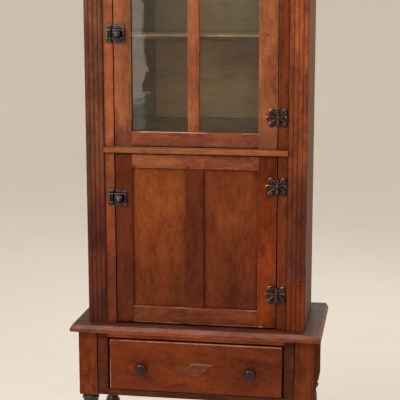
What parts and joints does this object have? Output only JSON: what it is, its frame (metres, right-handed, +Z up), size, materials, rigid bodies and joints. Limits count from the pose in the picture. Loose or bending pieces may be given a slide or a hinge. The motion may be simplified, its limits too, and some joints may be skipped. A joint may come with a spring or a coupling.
{
  "type": "bakers cabinet",
  "caption": "Tall narrow wooden cupboard with a glazed door above a panelled door, reeded pilasters and a cornice, on a stand with a drawer and turned legs.",
  "frame": {"origin": "on the floor, at the centre of the bounding box's base", "axes": "+Z up, the front with the doors and drawer faces -Y, +X to the right seen from the front"},
  "size_m": [0.762, 0.386, 1.948],
  "materials": {
    "leg_wood": "ebonised turning below a worn red-brown block",
    "stand_wood": "worn dark red-brown varnish",
    "top_board_wood": "worn red-brown varnish, dusty on the flat",
    "plain_wood": "unfinished",
    "lozenge_wood": "worn, paler than the drawer",
    "case_wood": "worn red-brown varnish",
    "light_case_wood": "paler orange-brown varnish",
    "inner_painted_wood": "thin old grey-green paint",
    "door_wood": "worn red-brown varnish",
    "panel_wood": "mottled amber-brown varnish",
    "old_glass": "wavy old sheet glass",
    "hinge_iron": "dark with worn copper highlights",
    "latch_iron": "dark, worn bright on the edges",
    "screw_steel": "dull, slotted heads"
  },
  "bodies": {
    "cabinet": {"leg_front_left": "leg_wood", "leg_front_right": "leg_wood", "leg_rear_left": "leg_wood", "leg_rear_right": "leg_wood", "base_top_board": "top_board_wood", "base_front_rails": "stand_wood", "base_filler_stiles": "stand_wood", "base_side_aprons": "stand_wood", "base_back_apron": "stand_wood", "drawer_runners": "plain_wood", "drawer_kickers": "plain_wood", "case_side_left": "case_wood", "case_side_right": "case_wood", "case_back_boards": "inner_painted_wood", "case_bottom_board": "inner_painted_wood", "case_middle_shelf": "inner_painted_wood", "case_shelves": "inner_painted_wood", "case_top_board": "case_wood", "pilaster_left": "case_wood", "pilaster_right": "case_wood", "pilaster_right_repair": "light_case_wood", "face_stile_left": "light_case_wood", "face_stile_right": "case_wood", "face_rail_top": "case_wood", "middle_strip": "light_case_wood", "cornice_front": "case_wood", "cornice_returns": "case_wood", "hinge_frame_leaves": "hinge_iron", "hinge_pins": "hinge_iron", "latch_keepers": "latch_iron", "case_screws": "screw_steel"},
    "drawer": {"drawer_front": "stand_wood", "drawer_sides": "plain_wood", "drawer_back": "plain_wood", "drawer_bottom": "plain_wood", "drawer_lozenge": "lozenge_wood", "drawer_knobs": "stand_wood"},
    "upper_door": {"upper_door_stile_left": "door_wood", "upper_door_stile_right": "door_wood", "upper_door_rail_bottom": "door_wood", "upper_door_rail_top": "door_wood", "upper_door_glazing_bar": "door_wood", "upper_door_glass": "old_glass", "upper_door_glazing_beads": "door_wood", "upper_door_hinge_leaves": "hinge_iron", "upper_latch_case": "latch_iron", "upper_door_screws": "screw_steel"},
    "lower_door": {"lower_door_stile_left": "door_wood", "lower_door_stile_right": "door_wood", "lower_door_rail_bottom": "door_wood", "lower_door_rail_top": "door_wood", "lower_door_mullion": "door_wood", "lower_door_panels": "panel_wood", "lower_door_hinge_leaves": "hinge_iron", "lower_latch_case": "latch_iron", "lower_door_screws": "screw_steel"},
    "upper_latch_bolt": {"upper_latch_bolt": "latch_iron"},
    "upper_latch_knob": {"upper_latch_knob": "latch_iron"},
    "lower_latch_bolt": {"lower_latch_bolt": "latch_iron"},
    "lower_latch_knob": {"lower_latch_knob": "latch_iron"}
  },
  "joints": [
    {"name": "drawer_slide", "type": "slide", "parent": "cabinet", "child": "drawer", "axis": [0, -1, 0], "range_m": [0, 0.24]},
    {"name": "upper_door_hinge", "type": "hinge", "parent": "cabinet", "child": "upper_door", "pos_m": [0.2435, -0.1408, 1.4985], "axis": [0, 0, 1], "range_deg": [0, 170]},
    {"name": "lower_door_hinge", "type": "hinge", "parent": "cabinet", "child": "lower_door", "pos_m": [0.2435, -0.1408, 0.88065], "axis": [0, 0, 1], "range_deg": [0, 170]},
    {"name": "upper_latch_turn", "type": "hinge", "parent": "upper_door", "child": "upper_latch_knob", "pos_m": [-0.2285, -0.146, 1.484], "axis": [0, -1, 0], "range_deg": [0, 60]},
    {"name": "upper_bolt_slide", "type": "slide", "parent": "upper_door", "child": "upper_latch_bolt", "axis": [-1, 0, 0], "range_m": [0, 0.007]},
    {"name": "lower_latch_turn", "type": "hinge", "parent": "lower_door", "child": "lower_latch_knob", "pos_m": [-0.2285, -0.146, 0.999], "axis": [0, -1, 0], "range_deg": [0, 60]},
    {"name": "lower_bolt_slide", "type": "slide", "parent": "lower_door", "child": "lower_latch_bolt", "axis": [-1, 0, 0], "range_m": [0, 0.007]}
  ],
  "couplings": [
    {"joint": "upper_bolt_slide", "follows": "upper_latch_turn", "m_per_rad": 0.006684},
    {"joint": "lower_bolt_slide", "follows": "lower_latch_turn", "m_per_rad": 0.006684}
  ]
}
